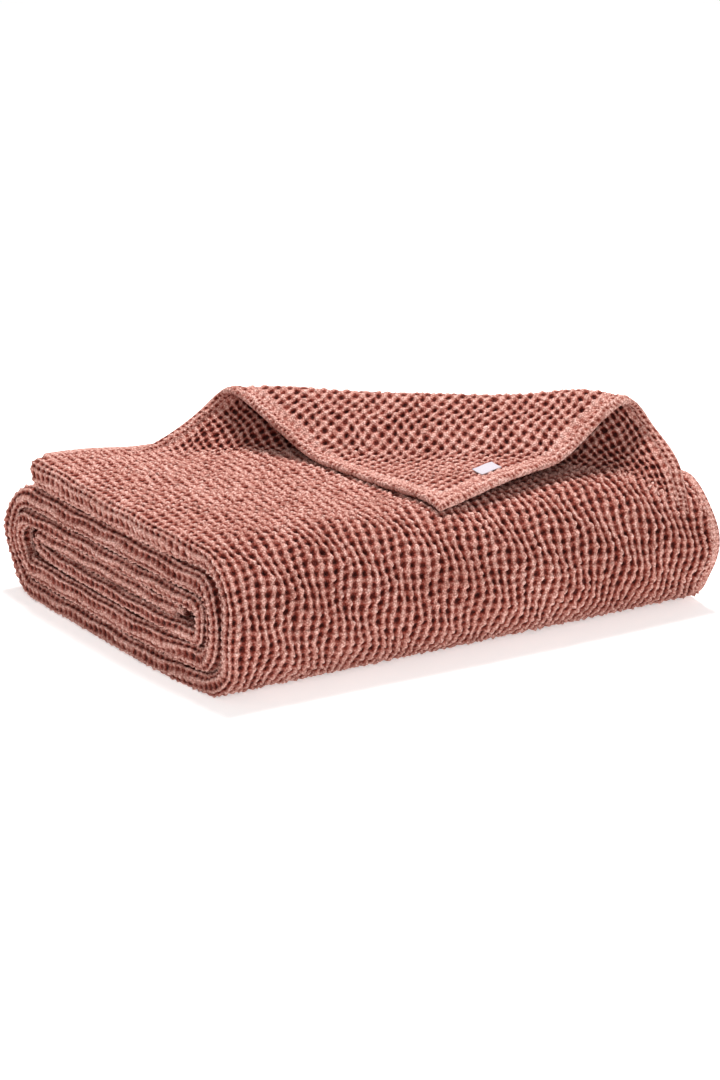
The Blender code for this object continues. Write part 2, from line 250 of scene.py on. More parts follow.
def turn(centre, z_from, z_to, thick, thick_mid, thick_next, bulge, left, steps):
    """Stations round one turn, from the height of one fold's middle to the next's."""
    angle = np.pi * np.arange(1, steps) / steps
    radius = (z_from - z_to) / 2.0
    across = np.abs(np.sin(angle)) ** (2.0 / TURN_POWER)
    along = np.copysign(np.abs(np.cos(angle)) ** (2.0 / TURN_POWER), np.cos(angle))
    end = np.where(angle < np.pi / 2.0, thick, thick_next)
    size = end + (thick_mid - end) * smooth(across * 1.2 - 0.1)
    return np.stack([centre + bulge * abs(radius) * across, (z_from + z_to) / 2.0 + radius * along,
                     size, np.full(steps - 1, left)], axis=1)


def centre_line(run_steps=24, turn_steps=48):
    """Stations (y, z, thickness, left edge in) and the index at which each fold starts and ends."""
    stations, marks = [], []
    count = 0
    for i, (_, _, left, front_in, back_in) in enumerate(FOLDS):
        to_front = i % 2 == 0
        middle, thick = band(i)
        back = TOP_END if i == 0 else (INNER_BACK if i >= 5 else BACK_CENTRE)
        front = INNER_END if i == len(FOLDS) - 1 else FRONT_CENTRE
        start, stop = (back, front) if to_front else (front, back)
        first_in = FOLDS[i - 1][3] if i and not to_front else (FOLDS[i - 1][4] if i else left)
        last_in = front_in if to_front else back_in
        share = np.arange(run_steps + 1) / run_steps
        slim = TOP_SLIM * smooth(share) if i == 0 else np.zeros_like(share)
        side = np.where(share < 0.5, first_in, last_in)
        stations.append(np.stack([start + (stop - start) * share, middle - slim / 2.0, thick - slim,
                                  left + (side - left) * np.abs(2.0 * share - 1.0) ** 3], axis=1))
        marks.append((count, count + run_steps))
        count += run_steps + 1
        if i == len(FOLDS) - 1:
            break
        next_middle, next_thick = band(i + 1)
        stations.append(turn(stop, middle - slim[-1] / 2.0, next_middle, thick - slim[-1],
                             TURN_THICK[i], next_thick, -FRONT_SQUASH if to_front else 1.0,
                             last_in, turn_steps))
        count += turn_steps - 1
    return np.concatenate(stations), marks


def station_outward(stations):
    """The direction that points out of the strip at each station."""
    ahead = np.concatenate([stations[1:], stations[-1:]])
    behind = np.concatenate([stations[:1], stations[:-1]])
    way = (ahead - behind)[:, :2]
    way /= np.linalg.norm(way, axis=1)[:, None]
    return np.stack([way[:, 1], -way[:, 0]], axis=1)


STATIONS, MARKS = centre_line()
OUTWARD = station_outward(STATIONS)
OUTER = STATIONS[:, :2] + OUTWARD * STATIONS[:, 2:3] / 2.0
RUN = np.concatenate([[0.0], np.cumsum(np.linalg.norm(np.diff(OUTER, axis=0), axis=1))])
FOLD_RUN = [(RUN[a], RUN[b]) for a, b in MARKS]


def strip(run):
    """Centre (y, z), thickness, left edge in and outward direction, run metres along the strip."""
    y, z, thick, left = (np.interp(run, RUN, STATIONS[:, k]) for k in range(4))
    out = np.stack([np.interp(run, RUN, OUTWARD[:, k]) for k in range(2)], axis=-1)
    out /= np.linalg.norm(out, axis=-1)[..., None]
    before = np.minimum(run, 0.0)
    return y - before, z, thick, left, out[..., 0], out[..., 1]


def behind_crest(x, y):
    """How far a place on the stack lies behind the corner's crease."""
    run = TOP_END - CORNER_IN - DEPTH / 2.0 - y
    length = math.hypot(CORNER_ALONG, CORNER_ACROSS)
    return ((x - CORNER_X + CORNER_ALONG) * CORNER_ACROSS - run * CORNER_ALONG) / length


def uneven(x, y, z):
    """The soft unevenness of the whole stack, and its place over the origin."""
    share = x / WIDTH + 0.5
    up = z / HEIGHT
    lift = 1.0 - RIGHT_DROP * share + WAVE * np.sin(2.4 * np.pi * share + 0.6)
    lift -= LEFT_DROP * (1.0 - smooth(share / LEFT_REACH)) * smooth(up)
    sag = SAG * smooth((behind_crest(x, y) - SAG_FROM) / (SAG_FULL - SAG_FROM))
    sag += DIP * np.exp(-((x - DIP_X) / DIP_WIDE) ** 2
                        - ((TOP_END - DEPTH / 2.0 - y) / DIP_DEEP) ** 2)
    at_right = smooth((share - ROUND_FROM) / (1.0 - ROUND_FROM))
    sag += RIGHT_ROUND * at_right
    sway = SIDE_SWAY * np.sin(3.0 * np.pi * up + 0.5) * (1.0 - 2.0 * share) - RIGHT_LEAN * at_right
    bow = FRONT_SWAY * np.sin(2.0 * np.pi * share + 0.8)
    return np.stack([x + sway * smooth(up * 4.0) + MIDDLE[0],
                     y + bow * smooth(up * 3.0) + MIDDLE[1],
                     np.maximum(z * lift - sag * up * up, 0.0)], axis=-1)


# The waffle relief, in cells: u counts across the cloth and v along it.

def chance(a, b, kind):
    """A fixed random number from 0 to 1 for each whole pair."""
    value = np.sin(a * 127.1 + b * 311.7 + kind * 74.7) * 43758.5453
    return value - np.floor(value)


def waffle(u, v, ribbed=0.0):
    """Height of the cloth's face in metres and how strong the pit of each cell is."""
    cu, cv = np.floor(u), np.floor(v)
    ku, kv = np.round(u), np.round(v)
    a, b = np.sin(np.pi * u) ** 2, np.sin(np.pi * v) ** 2
    edge = smooth((u - EDGE_CELL - 1.0) / 2.0)
    strength = PIT_MIDDLING + PIT_SPREAD * (chance(cu, cv, PITS) - 0.5) - PIT_EDGE_LOSS * edge
    pit = (a * b / (a + b - a * b + 0.0001)) ** PIT_POWER
    # Fat round knobs where the ridges cross, of uneven height.
    knob = KNOB_LEAST + KNOB_SPREAD * chance(ku, kv, KNOBS)
    knob = knob * ((1.0 - a) * (1.0 - b)) ** KNOB_POWER * (1.0 - KNOB_EDGE_LOSS * edge)
    plug = np.where(chance(cu, cv, PLUGS) > PLUG_ABOVE, PLUG_SHARE, 0.0) * (a * b) ** 5
    height = KNOB_HEIGHT * knob - (ALONG_LOW - ALONG_RIBBED * ribbed) * b * (1.0 - a)
    height -= (ACROSS_LOW + ACROSS_RIBBED * ribbed) * a * (1.0 - b)
    height -= PIT_DEPTH * strength * pit * (1.0 - plug)
    # Uneven yarn: lumps half a cell apart, and single loops that stand up or lie low.
    hu, hv = np.round(2.0 * u), np.round(2.0 * v)
    lump = np.cos(np.pi * (2.0 * u - hu)) * np.cos(np.pi * (2.0 * v - hv))
    height += LUMP * (chance(hu, hv, LUMPS) - 0.5) * lump ** 2
    loose = chance(np.round(u * LOOPS), np.round(v * LOOPS), LOOSE_LOOPS) - 0.5
    height += (LOOP + LOOP_AT_EDGE * edge) * loose
    return height + KNOB_RISE, strength * (1.0 - 0.8 * plug)


def drift(u, v):
    """Slow wander of the rows, and the uneven place of each crossing, in cells."""
    # The numbers inside the sines only have to be unlike one another.
    zigzag = ZIGZAG * np.cos(np.pi * u) * np.sin(np.pi * v)
    du = WANDER_ACROSS[0] * np.sin(0.31 * v + 0.4) * np.sin(0.17 * u + 1.0)
    du = du + WANDER_ACROSS[1] * np.sin(0.9 * v + 0.7 * u)
    dv = WANDER_ALONG[0] * np.sin(0.23 * u + 2.0) * np.sin(0.21 * v)
    dv = dv + WANDER_ALONG[1] * np.sin(1.1 * u - 0.5 * v)
    ku, kv = np.round(u), np.round(v)
    near = np.cos(np.pi * (u - ku)) ** 2 * np.cos(np.pi * (v - kv)) ** 2
    du = du + JITTER * (chance(ku, kv, MOVED_ACROSS) - 0.5) * near
    dv = dv + JITTER * (chance(ku, kv, MOVED_ALONG) - 0.5) * near
    # Along the folded edge the rows run straighter.
    return (du + zigzag) * (1.0 - EDGE_STRAIGHT * smooth((u - EDGE_CELL + 2.0) / 4.0)), dv


def round_fold(u, v, height):
    """A point of the strip's face, u cells in from its right side and round its left edge."""
    du, dv = drift(u, v)
    y, z, thick, left, out_y, out_z = strip((v + dv) * CELL)
    # The loose end of the strip closes to a round nose.
    close = np.interp((v + dv) * CELL, *zip(*END_ROUNDING))
    half = thick / 2.0 * close
    left_x = -WIDTH / 2.0 + left + (1.0 - close) * thick / 3.0
    across = (u + du) * CELL_ACROSS
    flat = WIDTH / 2.0 - left_x - half
    over = np.maximum(across - flat, 0.0) * EDGE_STRETCH
    angle = np.minimum(over / half, np.pi)
    past = np.maximum(over - np.pi * half, 0.0) / EDGE_STRETCH
    # The edge is a little squarer than a half circle, as cloth pressed in a stack is.
    side = np.sin(angle) ** EDGE_SQUARE
    over_face = np.sign(np.cos(angle)) * np.abs(np.cos(angle)) ** EDGE_SQUARE
    x = np.where(across <= flat, WIDTH / 2.0 - across, left_x + half - side * half + past)
    off = half * over_face
    x = x - np.sin(angle) * height
    off = off + np.cos(angle) * height
    return uneven(x, y - DEPTH / 2.0 + off * out_y, z + off * out_z)


def round_lobe(u, v, height):
    """A point of the inner pair of layers at the right side, which are joined by a fold."""
    du, dv = drift(u, v)
    y, z, thick, _, out_y, out_z = strip((v + dv) * CELL)
    radius = thick / 4.0 - BAND_GAP / 4.0
    height = height * np.clip(radius / LOBE_FULL, LOBE_SHARE, 1.0)
    turned = (u + 0.5 * du) * CELL_ACROSS - HEM_WIDTH
    angle = np.clip(turned / radius, 0.0, np.pi)
    past = np.maximum(turned - np.pi * radius, 0.0)
    x = WIDTH / 2.0 - radius - LOBE_IN + np.sin(angle) * (radius + height)
    x = x + np.minimum(turned, 0.0) - past
    off = -thick / 4.0 + np.cos(angle) * (radius + height)
    return uneven(x, y - DEPTH / 2.0 + off * out_y, z + off * out_z)


# The turned corner.

CREST = np.array([CORNER_X - CORNER_ALONG, 0.0])
CREST_LENGTH = math.hypot(CORNER_ALONG, CORNER_ACROSS)
ALONG = np.array([CORNER_ALONG, CORNER_ACROSS]) / CREST_LENGTH
AWAY = np.array([ALONG[1], -ALONG[0]])
TIP = CORNER_ALONG * CORNER_ACROSS / CREST_LENGTH + ROOT_BACK


def fold_curve(steps=480):
    """Cloth from the root, distance over the stack and height over it, down the turned corner."""
    at = (np.arange(steps) + 0.5) * FOLD_OVER[-1][0] / steps
    slopes = np.zeros(steps)
    for (a, s), (b, t) in zip(FOLD_OVER, FOLD_OVER[1:]):
        slopes = np.where((at >= a) & (at <= b), s + (t - s) * smooth((at - a) / (b - a)), slopes)
    step = FOLD_OVER[-1][0] / steps
    over = np.concatenate([[0.0], np.cumsum(np.cos(np.radians(slopes)) * step)])
    up = np.concatenate([[0.0], np.cumsum(np.sin(np.radians(slopes)) * step)])
    return np.arange(steps + 1) * step, over, up


CURVE = fold_curve()


def settle(z):
    """Brings the turned cloth softly down to its rest on the stack."""
    rest = ROOT_SINK + REST_GAP + HEM_THICK / 2.0
    return rest + LANDING * np.logaddexp(0.0, (z - rest) / LANDING)


def lay_corner(p, q):
    """Middle of the turned cloth, p and q metres from its tip along its two hems."""
    flat = np.stack([CORNER_X - p, q], axis=-1) - CREST
    cloth = np.maximum(0.0, flat @ AWAY + ROOT_BACK)
    over = np.interp(cloth, CURVE[0], CURVE[1])
    up = np.interp(cloth, CURVE[0], CURVE[2])
    along = flat @ ALONG
    share = along / CREST_LENGTH
    # The crest rises towards the right, and again at both of its ends.
    up = up * (CREST_LEFT + (CREST_RIGHT - CREST_LEFT) * smooth(share)
               + CREST_END * smooth(1.0 - share / CREST_END_OVER)
               + CREST_SIDE * smooth(1.0 - (1.0 - share) / CREST_END_OVER))
    down = np.clip((cloth - CREST_AT) / (TIP - CREST_AT), 0.0, 1.0)
    rise = SIDE_LIFT * smooth((share - SIDE_LIFT_FROM) / 0.30)
    up = np.where(cloth > CREST_AT, settle(up), up) + rise * np.sin(np.pi * down)
    spot = CREST + along[..., None] * ALONG + (over - ROOT_BACK)[..., None] * AWAY
    run = spot[..., 1] + CORNER_IN
    y, z, thick, _, out_y, out_z = strip(run)
    off = thick / 2.0 + up - ROOT_SINK
    return np.stack([spot[..., 0], y - DEPTH / 2.0 + off * out_y, z + off * out_z], axis=-1)


def corner_point(p, q, off):
    """A point off metres above the middle of the turned cloth, where the corner is turned over."""
    step = 0.0010               # wide enough to even the cloth's direction out
    across = lay_corner(p + step, q) - lay_corner(p - step, q)
    down = lay_corner(p, q + step) - lay_corner(p, q - step)
    normal = np.cross(down, across)
    normal /= np.linalg.norm(normal, axis=-1)[..., None]
    at = lay_corner(p, q) + normal * off[..., None]
    return uneven(at[..., 0], at[..., 1], at[..., 2])


# Meshes.

def read_points(mesh):
    """The places of a mesh's vertices."""
    points = np.empty(len(mesh.vertices) * 3)
    mesh.vertices.foreach_get("co", points)
    return points.reshape(-1, 3)


def finish_cloth(name, mesh, points, u, v, strength, finish, ribbed=0.0):
    """Gives a mesh its places, its lattice map, pits and ribs, and turns its faces outwards."""
    mesh.vertices.foreach_set("co", points.astype(np.float32).ravel())
    layer = mesh.uv_layers.new(name="lattice")
    loop_vertex = np.empty(len(mesh.loops), dtype=np.int32)
    mesh.loops.foreach_get("vertex_index", loop_vertex)
    layer.data.foreach_set("uv", np.stack([u, v], axis=1)[loop_vertex].astype(np.float32).ravel())
    ribs = ribbed + np.zeros_like(strength)
    for key, value in (("pit_strength", strength), ("rib_strength", ribs)):
        layer = mesh.attributes.new(key, "FLOAT", "POINT")
        layer.data.foreach_set("value", value.astype(np.float32))
    mesh.update()
    bm = bmesh.new()
    bm.from_mesh(mesh)
    if bm.calc_volume(signed=True) < 0.0:
        bmesh.ops.reverse_faces(bm, faces=bm.faces)
    bm.to_mesh(mesh)
    bm.free()
    mesh.shade_smooth()
    mesh.materials.append(finish)
    thing = bpy.data.objects.new(name, mesh)
    bpy.context.scene.collection.objects.link(thing)
    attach(thing, "root")
    return thing


def cloth_piece(name, finish, place, across, along, fine, face_drop=0.0):
    """A closed piece of waffle cloth over a block of whole cells, with a coarse back."""
    wide, long = across[1] - across[0], along[1] - along[0]
    bm = bmesh.new()
    bmesh.ops.create_grid(bm, x_segments=wide * fine, y_segments=long * fine, size=1.0)
    face_rim = [e for e in bm.edges if e.is_boundary]
    back = bmesh.ops.create_grid(bm, x_segments=wide, y_segments=long, size=1.0,
                                 matrix=Matrix.Translation((0.0, 0.0, -1.0)))["verts"]
    back_rim = [e for e in {e for v in back for e in v.link_edges} if e.is_boundary]
    bmesh.ops.reverse_faces(bm, faces=list({f for v in back for f in v.link_faces}))
    bmesh.ops.bridge_loops(bm, edges=face_rim + back_rim)
    mesh = bpy.data.meshes.new(name)
    bm.to_mesh(mesh)
    bm.free()
    at = read_points(mesh)
    on_face = at[:, 2] > -0.5
    u = across[0] + (at[:, 0] + 1.0) / 2.0 * wide
    v = along[0] + (at[:, 1] + 1.0) / 2.0 * long
    # Down the front, and more so towards the right end, the ridges stand out as ribs.
    ribbed = (RIB_LEAST + RIB_MORE * smooth((30.0 - u) / 22.0)) * smooth((v - RIB_FROM) / 6.0)
    height, strength = waffle(u, v, ribbed)
    height = np.where(on_face, height - face_drop, -SKIN)
    return finish_cloth(name, mesh, place(u, v, height), u, v, strength, finish, ribbed)


def corner_piece(name, finish, fine=6):
    """The turned corner as one closed piece with a waffle face on both sides and a thick hem."""
    reach = ROOT_BACK * CREST_LENGTH
    wide = math.ceil((CORNER_ALONG + reach / CORNER_ACROSS) / CORNER_CELL)
    long = math.ceil((CORNER_ACROSS + reach / CORNER_ALONG) / CORNER_CELL)
    bm = bmesh.new()
    bmesh.ops.create_grid(bm, x_segments=wide * fine, y_segments=long * fine, size=1.0)
    for v in bm.verts:
        v.co = ((v.co.x + 1.0) / 2.0 * wide, (v.co.y + 1.0) / 2.0 * long, 0.0)
    # Only the part of the cloth in front of its root is kept.
    gone = []
    for f in bm.faces:
        middle = f.calc_center_median() * CORNER_CELL
        if (CORNER_X - middle.x - CREST[0]) * AWAY[0] + middle.y * AWAY[1] + ROOT_BACK < 0.0006:
            gone.append(f)
    bmesh.ops.delete(bm, geom=gone, context="FACES")
    for v in bm.verts:
        v.co.z = 0.0 if v.is_boundary else 1.0
    under = bmesh.ops.duplicate(bm, geom=bm.verts[:] + bm.edges[:] + bm.faces[:])["geom"]
    bmesh.ops.reverse_faces(bm, faces=[g for g in under if isinstance(g, bmesh.types.BMFace)])
    for g in under:
        if isinstance(g, bmesh.types.BMVert):
            g.co.z = -g.co.z
    bmesh.ops.remove_doubles(bm, verts=bm.verts, dist=0.00001)
    mesh = bpy.data.meshes.new(name)
    bm.to_mesh(mesh)
    bm.free()
    at = read_points(mesh)
    u, v, side = at.T
    p, q = u * CORNER_CELL, v * CORNER_CELL
    edge = np.minimum(p, q)
    hem = 1.0 - smooth((edge - HEM_WIDTH + HEM_STEP_FROM) / HEM_STEP)
    round_in = np.sqrt(1.0 - np.clip(1.0 - edge / HEM_ROUND, 0.0, 1.0) ** 2)
    half = CLOTH / 2.0 + (HEM_THICK - CLOTH) / 2.0 * hem
    half += HEM_CROWN * hem * np.sin(np.pi * edge / HEM_WIDTH)
    # The pits of one side lie over the knobs of the other, closer where the cloth is curled in.
    below = side < -0.5
    lu = np.where(below, u * UNDER_CLOSER + 0.5, u)
    lv = np.where(below, v * UNDER_CLOSER + 0.5, v)
    # A hem is two rows of small slanting lumps, as its folded layers press the cells together.
    in_hem = edge < HEM_WIDTH - 0.0003
    down_hem = np.maximum(p, q)
    # The sines keep the rows of lumps from running quite straight.
    over_hem = 2.0 * edge / HEM_WIDTH + 0.16 * np.sin(down_hem * 330.0)
    lumps = down_hem / HEM_LUMP + HEM_SLANT * over_hem + 0.30 * np.sin(down_hem * 210.0)
    lu, lv = np.where(in_hem, over_hem, lu), np.where(in_hem, lumps, lv)
    height, strength = waffle(lu, lv)
    groove = -GROOVE * np.exp(-((edge - HEM_WIDTH) / GROOVE_WIDE) ** 2)
    groove -= SEAM * np.exp(-((edge - HEM_WIDTH - SEAM_IN) / SEAM_WIDE) ** 2)
    near = np.clip((edge - HEM_WIDTH) / FLAT_NEAR_HEM, FLAT_SHARE, 1.0)
    share = np.where(in_hem, HEM_RELIEF, np.where(height < 0.0, near, CORNER_KNOBS))
    height = height * share + groove
    # At its edge the two faces meet on the middle of the cloth.
    off = np.where(np.abs(side) < 0.5, 0.0, np.sign(side) * (half * round_in + height * round_in))
    du, dv = drift(u, v)
    calm = smooth(edge / CORNER_CALM)
    points = corner_point((u + du * calm) * CORNER_CELL, (v + dv * calm) * CORNER_CELL, off)
    # On the underside the pits are painted darker, as painted shade under the curled corner.
    strength = strength * np.where(in_hem, HEM_PITS, near) * np.where(below, UNDER_PIT_SHADE, 1.0)
    return finish_cloth(name, mesh, points, lu, lv, strength, finish)


def hem_bar(name, finish, centre, side, up, half_wide, half_thick, around=14):
    """A closed hem of flattened round section, along a row of places, with round ends."""
    steps = len(centre) - 1
    bm = bmesh.new()
    bmesh.ops.create_grid(bm, x_segments=around, y_segments=steps, size=1.0)
    mesh = bpy.data.meshes.new(name)
    bm.to_mesh(mesh)
    bm.free()
    at = read_points(mesh)
    j = np.round((at[:, 0] + 1.0) / 2.0 * around).astype(int)
    i = np.round((at[:, 1] + 1.0) / 2.0 * steps).astype(int)
    angle = 2.0 * np.pi * (j % around) / around
    # A squarish section, as that of cloth folded flat.
    across = np.copysign(np.abs(np.cos(angle)) ** 0.55, np.cos(angle))
    over = np.copysign(np.abs(np.sin(angle)) ** 0.80, np.sin(angle))
    run = np.concatenate([[0.0], np.cumsum(np.linalg.norm(np.diff(centre, axis=0), axis=1))])
    ends = np.minimum(run, run[-1] - run)
    close = np.sqrt(1.0 - (1.0 - np.clip(ends / HEM_END_ROUND, 0.0, 1.0)) ** 2)
    wave = np.sin(2.0 * np.pi * run[i] / CELL * 1.5)
    knobbly = 1.0 + HEM_KNOBBLY * wave * np.cos(2.0 * angle)
    points = (centre[i] + side[i] * (across * half_wide * close[i])[:, None]
              + up[i] * (over * half_thick[i] * close[i] * knobbly)[:, None])
    points = uneven(points[:, 0], points[:, 1], points[:, 2])
    u, v = run[i] / HEM_CELL, j * 4.0 * half_wide / around / HEM_CELL
    thing = finish_cloth(name, mesh, points, u, v, np.full(len(points), HEM_PIT_STRENGTH), finish)
    bm = bmesh.new()
    bm.from_mesh(thing.data)
    bmesh.ops.remove_doubles(bm, verts=bm.verts, dist=0.000005)
    bmesh.ops.recalc_face_normals(bm, faces=bm.faces)
    bm.to_mesh(thing.data)
    bm.free()
    return thing


def side_hem(name, finish, first, last, share, inset):
    """A hem along the right side of the strip, share of the thickness off its middle."""
    run = np.linspace(first, last, int((last - first) / HEM_CELL))
    y, z, thick, _, out_y, out_z = strip(run)
    off = thick * share
    lie = inset + 0.0012 * np.sin(run * 31.0 + share * 9.0) + 0.0006 * np.sin(run * 83.0)
    centre = np.stack([WIDTH / 2.0 - HEM_WIDTH / 2.0 - lie, y - DEPTH / 2.0 + off * out_y,
                       z + off * out_z], axis=1)
    up = np.stack([np.zeros_like(y), out_y, out_z], axis=1)
    side = np.zeros_like(up)
    side[:, 0] = 1.0
    return hem_bar(name, finish, centre, side, up, HEM_WIDTH / 2.0, thick / 8.0 + 0.0002)


def end_hem(name, finish, first, last, share, inset):
    """A hem across the loose end of the top fold."""
    x = np.linspace(first, last, int((last - first) / HEM_CELL))
    y, z, thick = (value[0] for value in strip(np.zeros(1))[:3])
    lie = inset + 0.0010 * np.sin(x * 37.0 + share * 11.0)
    centre = np.stack([x, y - DEPTH / 2.0 + 0.0005 - lie, np.full(len(x), z + thick * share)],
                      axis=1)
    side = np.tile([0.0, 1.0, 0.0], (len(x), 1))
    up = np.tile([0.0, 0.0, 1.0], (len(x), 1))
    half_thick = np.full(len(x), thick / 8.0 - 0.0001)
    return hem_bar(name, finish, centre, side, up, HEM_WIDTH / 2.0, half_thick)


def folded_sheet(name, finish, flats=6, creases=6, run_steps=5, turn_steps=10):
    """The whole throw as one thin sheet: four layers across, folded over and over."""
    stations, _ = centre_line(run_steps, turn_steps)
    middles = stations[:, :2]
    outward = station_outward(stations)
    thick, left = stations[:, 2], stations[:, 3]
    outer = thick / 2.0 - SHEET_IN
    inner = outer / 3.0
    left_x = -WIDTH / 2.0 + left + thick / 2.0
    right_x = np.full_like(left_x, WIDTH / 2.0 - HEM_WIDTH)
    crease = (outer - inner) / 2.0
    xs, offs = [], []

    def layer(start, stop, off):
        for share in np.linspace(0.0, 1.0, flats):
            xs.append(start + (stop - start) * share)
            offs.append(off)

    def fold(x, middle, radius, to_left, first_up):
        for angle in np.linspace(0.0, np.pi, creases + 1)[1:-1]:
            xs.append(x + (-1.0 if to_left else 1.0) * radius * math.sin(angle))
            offs.append(middle + (1.0 if first_up else -1.0) * radius * math.cos(angle))

    layer(right_x, left_x, outer)
    fold(left_x, 0.0, outer, True, True)
    layer(left_x, right_x - crease, -outer)
    fold(right_x - crease, -(outer + inner) / 2.0, crease, False, False)
    layer(right_x - crease, left_x, -inner)
    fold(left_x, 0.0, inner, True, False)
    layer(left_x, right_x, inner)
    xs, offs = np.stack(xs, axis=1), np.stack(offs, axis=1)
    count, across = xs.shape
    bm = bmesh.new()
    bmesh.ops.create_grid(bm, x_segments=across - 1, y_segments=count - 1, size=1.0)
    mesh = bpy.data.meshes.new(name)
    bm.to_mesh(mesh)
    bm.free()
    at = read_points(mesh)
    j = np.round((at[:, 0] + 1.0) / 2.0 * (across - 1)).astype(int)
    i = np.round((at[:, 1] + 1.0) / 2.0 * (count - 1)).astype(int)
    x, off = xs[i, j], offs[i, j]
    points = uneven(x, middles[i, 0] - DEPTH / 2.0 + off * outward[i, 0],
                    middles[i, 1] + off * outward[i, 1])
    run = np.concatenate([[0.0], np.cumsum(np.linalg.norm(np.diff(middles, axis=0), axis=1))])
    pits = np.full(len(x), SHEET_PITS)
    return finish_cloth(name, mesh, points, x / CELL, run[i] / CELL, pits, finish)


def tab_piece(name, finish):
    """The blank tab: one folded piece of narrow tape, sewn in beside the side hem."""
    bm = bmesh.new()
    bmesh.ops.create_grid(bm, x_segments=16, y_segments=34, size=1.0)
    made = bmesh.ops.extrude_face_region(bm, geom=list(bm.faces), use_keep_orig=True)
    top = {v for v in made["geom"] if isinstance(v, bmesh.types.BMVert)}
    for v in bm.verts:
        v.co.z = 1.0 if v in top else -1.0
    bmesh.ops.recalc_face_normals(bm, faces=bm.faces)
    mesh = bpy.data.meshes.new(name)
    bm.to_mesh(mesh)
    bm.free()
    at = read_points(mesh)
    s, t, side = at.T
    rim = np.clip((1.0 - np.abs(s)) / 0.12, 0.0, 1.0)
    # Its loose side stands up a little, and it is slightly wavy.
    lift = 0.0004 * (1.0 + s) ** 2 + 0.0002 * np.sin(3.0 * t)
    off = CLOTH / 2.0 + KNOB_RISE + TAB_OVER + lift + side * TAB_THICK / 2.0 * (0.35 + 0.65 * rim)
    p = HEM_WIDTH + TAB_IN + TAB_WIDE * (s + 1.0) / 2.0
    q = TAB_FROM_TIP + TAB_LONG * (t + 1.0) / 2.0
    points = corner_point(p, q, off)
    return finish_cloth(name, mesh, points, p * 1000.0, q * 1000.0, np.zeros(len(p)), finish)


# Materials.

# The cloth's own pale pink on the ridges, going over into painted shade, dark red-brown, down in the
# pits.
CLOTH_AND_PIT_SHADE_STOPS = [(0.00, "#F8DAD2"), (0.10, "#EBC3B9"), (0.24, "#C48E83"), (0.40, "#93473A"),
                (0.58, "#632219"), (0.85, "#43100A")]
# Painted shade in the gaps between loops of yarn, laid over that.
LOOP_GAP_SHADE_STOPS = [(0.10, "#FFFFFF"), (0.38, "#EAD3CD"), (0.70, "#A87C71")]
PATCH_STOPS = [(0.30, "#EBDDD9"), (0.70, "#FFFFFF")]
TAPE_STOPS = [(0.0, "#B4ABB3"), (1.0, "#CCC5CA")]
FLOOR_STOPS = [(0.3, "#F6F5F4"), (0.7, "#FAF9F8")]
COTTON_SHEEN = "#F2C9BD"
# Real fibres and loops are finer than these. They are drawn this coarse to show in the render.
FIBRES = 1000.0             # to a metre: loose fibres 1 mm apart
LOOPS_OF_YARN = 820.0       # 1.2 mm apart
PATCHES = 38.0              # slow changes of tone, 26 mm apart
YARN_RELIEF = 0.0011
TAPE_THREADS = 0.8          # threads 0.4 mm apart, in the wave's measure on a map in millimetres
THREAD_RELIEF = 0.0002


def add(tree, kind, settings=(), **links):
    """Adds a node, sets it, and fills its inputs with values or other nodes' outputs.

    A bare word as the setting is the node's operation, and stops are a colour ramp's. A node that
    is given as an input stands for its first output.
    """
    made = tree.nodes.new(kind)
    if isinstance(settings, str):
        settings = {"operation": settings}
    for key, value in dict(settings).items():
        if key != "stops":
            setattr(made, key, value)
            continue
        points = made.color_ramp.elements
        while len(points) < len(value):
            points.new(0.5)
        for point, (at, code) in zip(points, value):
            point.position = at
            point.color = linear(code)
    for key, value in links.items():
        place = int(key[1:]) if key[0] == "i" and key[1:].isdigit() else key.replace("_", " ")
        if isinstance(value, bpy.types.Node):
            value = value.outputs[0]
        if isinstance(value, bpy.types.NodeSocket):
            tree.links.new(value, made.inputs[place])
        else:
            made.inputs[place].default_value = value
    return made


def new_material(name, **constants):
    """A material, its nodes and its shader, with what is the same all over set on the shader."""
    made = bpy.data.materials.new(name)
    made.use_nodes = True
    shader = made.node_tree.nodes["Principled BSDF"]
    for key, value in constants.items():
        shader.inputs[key.replace("_", " ")].default_value = value
    return made, made.node_tree, shader


